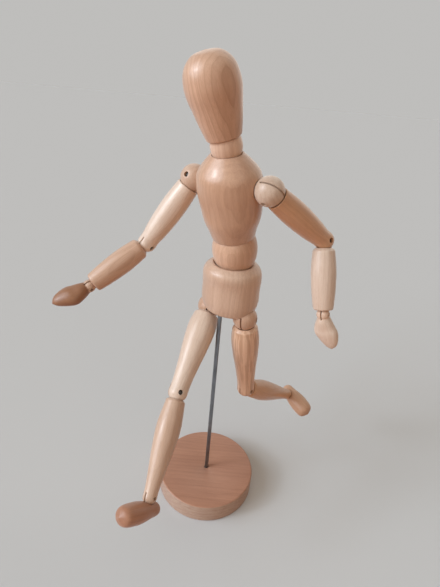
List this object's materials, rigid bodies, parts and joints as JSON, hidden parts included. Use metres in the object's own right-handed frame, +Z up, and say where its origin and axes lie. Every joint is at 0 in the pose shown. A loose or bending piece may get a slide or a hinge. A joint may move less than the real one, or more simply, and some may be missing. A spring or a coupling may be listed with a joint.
{
  "type": "wooden artist mannequin",
  "caption": "Jointed wooden artist's lay figure in a running pose, held by a thin rod on a round wooden base.",
  "frame": {"origin": "centre of the base's underside, on the rod's axis", "axes": "+Z up along the rod; -Y is the side the picture was taken from; the figure faces between -Y and -X"},
  "size_m": [0.1968, 0.1576, 0.3288],
  "materials": {
    "lacquered_wood": "pale beech, satin clear lacquer",
    "steel": "plain drawn steel",
    "dark_steel": "darkened steel pin"
  },
  "bodies": {
    "stand": {"stand_base": "lacquered_wood", "stand_rod": "steel"},
    "pelvis": {"pelvis": "lacquered_wood", "right_hip_spring": "steel", "left_hip_spring": "steel"},
    "spine_spring": {"spine_spring": "steel"},
    "waist_block": {"waist_block": "lacquered_wood"},
    "chest": {"chest": "lacquered_wood", "chest_spring": "steel", "shoulder_spring": "steel"},
    "neck_spring": {"neck_spring": "steel"},
    "neck": {"neck": "lacquered_wood"},
    "head": {"head": "lacquered_wood"},
    "right_shoulder_ball": {"right_shoulder_ball": "lacquered_wood", "right_shoulder_pin": "dark_steel"},
    "right_upper_arm": {"right_upper_arm": "lacquered_wood", "right_shoulder_tang": "steel", "right_elbow_pin": "dark_steel"},
    "right_forearm": {"right_forearm": "lacquered_wood", "right_elbow_tang": "steel"},
    "right_wrist_tang": {"right_wrist_tang": "steel"},
    "right_hand": {"right_hand": "lacquered_wood", "right_wrist_pin": "dark_steel"},
    "right_hip_ball": {"right_hip_ball": "lacquered_wood", "right_hip_pin": "dark_steel"},
    "right_hip_tang": {"right_hip_tang": "steel"},
    "right_thigh": {"right_thigh": "lacquered_wood", "right_knee_pin": "dark_steel"},
    "right_shin": {"right_shin": "lacquered_wood", "right_knee_tang": "steel", "right_ankle_pin": "dark_steel"},
    "right_ankle_tang": {"right_ankle_tang": "steel"},
    "right_foot": {"right_foot": "lacquered_wood"},
    "left_shoulder_ball": {"left_shoulder_ball": "lacquered_wood", "left_shoulder_pin": "dark_steel"},
    "left_upper_arm": {"left_upper_arm": "lacquered_wood", "left_shoulder_tang": "steel", "left_elbow_pin": "dark_steel"},
    "left_forearm": {"left_forearm": "lacquered_wood", "left_elbow_tang": "steel"},
    "left_wrist_tang": {"left_wrist_tang": "steel"},
    "left_hand": {"left_hand": "lacquered_wood", "left_wrist_pin": "dark_steel"},
    "left_hip_ball": {"left_hip_ball": "lacquered_wood", "left_hip_pin": "dark_steel"},
    "left_hip_tang": {"left_hip_tang": "steel"},
    "left_thigh": {"left_thigh": "lacquered_wood", "left_knee_pin": "dark_steel"},
    "left_shin": {"left_shin": "lacquered_wood", "left_knee_tang": "steel", "left_ankle_pin": "dark_steel"},
    "left_ankle_tang": {"left_ankle_tang": "steel"},
    "left_foot": {"left_foot": "lacquered_wood"}
  },
  "joints": [
    {"name": "pelvis_swivel", "type": "hinge", "parent": "stand", "child": "pelvis", "pos_m": [0, 0, 0], "axis": [0, 0, 1], "continuous": true},
    {"name": "torso_turn", "type": "hinge", "parent": "pelvis", "child": "spine_spring", "pos_m": [0.00569, 0.01136, 0.2148], "axis": [0, 0, 1], "range_deg": [-28, 40]},
    {"name": "waist_bend", "type": "hinge", "parent": "spine_spring", "child": "waist_block", "pos_m": [0.00569, 0.01136, 0.2148], "axis": [0.8406, -0.5417, 0], "range_deg": [-29, 9]},
    {"name": "chest_lean", "type": "hinge", "parent": "waist_block", "child": "chest", "pos_m": [0.00569, 0.01136, 0.2148], "axis": [0.5328, 0.8268, 0.1805], "range_deg": [-15, 24]},
    {"name": "neck_turn", "type": "hinge", "parent": "chest", "child": "neck_spring", "pos_m": [-0.0052, 0.00398, 0.2807], "axis": [-0.162, -0.1097, 0.9807], "range_deg": [-80, 80]},
    {"name": "neck_nod", "type": "hinge", "parent": "neck_spring", "child": "neck", "pos_m": [-0.0052, 0.00398, 0.2807], "axis": [0.8306, -0.5518, 0.0755], "range_deg": [-21, 13]},
    {"name": "head_tilt", "type": "hinge", "parent": "neck", "child": "head", "pos_m": [-0.0052, 0.00398, 0.2807], "axis": [0.5202, 0.8171, 0.2485], "range_deg": [-11, 24]},
    {"name": "right_shoulder_spin", "type": "hinge", "parent": "chest", "child": "right_shoulder_ball", "pos_m": [-0.02408, 0.02218, 0.25586], "axis": [0.8306, -0.5518, 0.0755], "continuous": true},
    {"name": "right_arm_swing", "type": "hinge", "parent": "right_shoulder_ball", "child": "right_upper_arm", "pos_m": [-0.02408, 0.02218, 0.25586], "axis": [0.5288, 0.7388, -0.4178], "range_deg": [-24, 66]},
    {"name": "right_elbow_bend", "type": "hinge", "parent": "right_upper_arm", "child": "right_forearm", "pos_m": [-0.05329, 0.01753, 0.21068], "axis": [-0.6542, 0.6684, 0.3541], "range_deg": [-28.1, 31]},
    {"name": "right_hand_turn", "type": "hinge", "parent": "right_forearm", "child": "right_wrist_tang", "pos_m": [-0.08814, -0.00282, 0.18469], "axis": [-0.7261, -0.4239, -0.5413], "range_deg": [-80, 80]},
    {"name": "right_wrist_bend", "type": "hinge", "parent": "right_wrist_tang", "child": "right_hand", "pos_m": [-0.08814, -0.00282, 0.18469], "axis": [-0.6364, 0.7123, 0.2959], "range_deg": [-39, 20]},
    {"name": "right_hip_turn", "type": "hinge", "parent": "pelvis", "child": "right_hip_ball", "pos_m": [-0.00782, 0.01588, 0.167], "axis": [-0.0826, 0.0414, -0.9957], "range_deg": [-3, 45]},
    {"name": "right_hip_swing", "type": "hinge", "parent": "right_hip_ball", "child": "right_hip_tang", "pos_m": [-0.00782, 0.01588, 0.167], "axis": [-0.9661, 0.2417, 0.0902], "range_deg": [-70, 8]},
    {"name": "right_thigh_turn", "type": "hinge", "parent": "right_hip_tang", "child": "right_thigh", "pos_m": [-0.00782, 0.01588, 0.167], "axis": [-0.2416, -0.7251, -0.6448], "range_deg": [-90, 30]},
    {"name": "right_knee_bend", "type": "hinge", "parent": "right_thigh", "child": "right_shin", "pos_m": [-0.0235, -0.03118, 0.12515], "axis": [0.369, -0.6833, 0.6301], "range_deg": [-5.6, 50]},
    {"name": "right_ankle_bend", "type": "hinge", "parent": "right_shin", "child": "right_ankle_tang", "pos_m": [-0.03367, -0.07862, 0.07967], "axis": [-0.8088, 0.488, -0.3282], "range_deg": [-25, 25]},
    {"name": "right_foot_turn", "type": "hinge", "parent": "right_ankle_tang", "child": "right_foot", "pos_m": [-0.03367, -0.07862, 0.07967], "axis": [-0.0417, -0.6042, -0.7957], "range_deg": [-45, 90]},
    {"name": "left_shoulder_spin", "type": "hinge", "parent": "chest", "child": "left_shoulder_ball", "pos_m": [0.02177, -0.00828, 0.26002], "axis": [0.8306, -0.5518, 0.0755], "continuous": true},
    {"name": "left_arm_swing", "type": "hinge", "parent": "left_shoulder_ball", "child": "left_upper_arm", "pos_m": [0.02177, -0.00828, 0.26002], "axis": [-0.3389, -0.6084, -0.7177], "range_deg": [-20, 70]},
    {"name": "left_elbow_bend", "type": "hinge", "parent": "left_upper_arm", "child": "left_forearm", "pos_m": [0.06148, 0.00816, 0.22733], "axis": [-0.5868, 0.7329, -0.3442], "range_deg": [-57.2, 2]},
    {"name": "left_hand_turn", "type": "hinge", "parent": "left_forearm", "child": "left_wrist_tang", "pos_m": [0.06692, -0.00847, 0.18264], "axis": [-0.1135, 0.3464, 0.9312], "range_deg": [-80, 80]},
    {"name": "left_wrist_bend", "type": "hinge", "parent": "left_wrist_tang", "child": "left_hand", "pos_m": [0.06692, -0.00847, 0.18264], "axis": [-0.8256, 0.4885, -0.2824], "range_deg": [-13, 46]},
    {"name": "left_hip_turn", "type": "hinge", "parent": "pelvis", "child": "left_hip_ball", "pos_m": [0.0174, 0.00325, 0.167], "axis": [-0.0826, 0.0414, 0.9957], "range_deg": [-20, 40]},
    {"name": "left_hip_swing", "type": "hinge", "parent": "left_hip_ball", "child": "left_hip_tang", "pos_m": [0.0174, 0.00325, 0.167], "axis": [-0.9285, 0.3597, -0.092], "range_deg": [-15, 62]},
    {"name": "left_thigh_turn", "type": "hinge", "parent": "left_hip_tang", "child": "left_thigh", "pos_m": [0.0174, 0.00325, 0.167], "axis": [-0.1132, -0.0384, 0.9928], "range_deg": [-40, 60]},
    {"name": "left_knee_bend", "type": "hinge", "parent": "left_thigh", "child": "left_shin", "pos_m": [0.02475, 0.00575, 0.10257], "axis": [0.7213, -0.6904, 0.0555], "range_deg": [-50.4, 5]},
    {"name": "left_ankle_bend", "type": "hinge", "parent": "left_shin", "child": "left_ankle_tang", "pos_m": [0.06456, 0.04439, 0.06591], "axis": [-0.7213, 0.6904, -0.0555], "range_deg": [-20, 30]},
    {"name": "left_foot_turn", "type": "hinge", "parent": "left_ankle_tang", "child": "left_foot", "pos_m": [0.06456, 0.04439, 0.06591], "axis": [-0.6361, -0.6287, 0.4473], "range_deg": [-120, 10]}
  ]
}
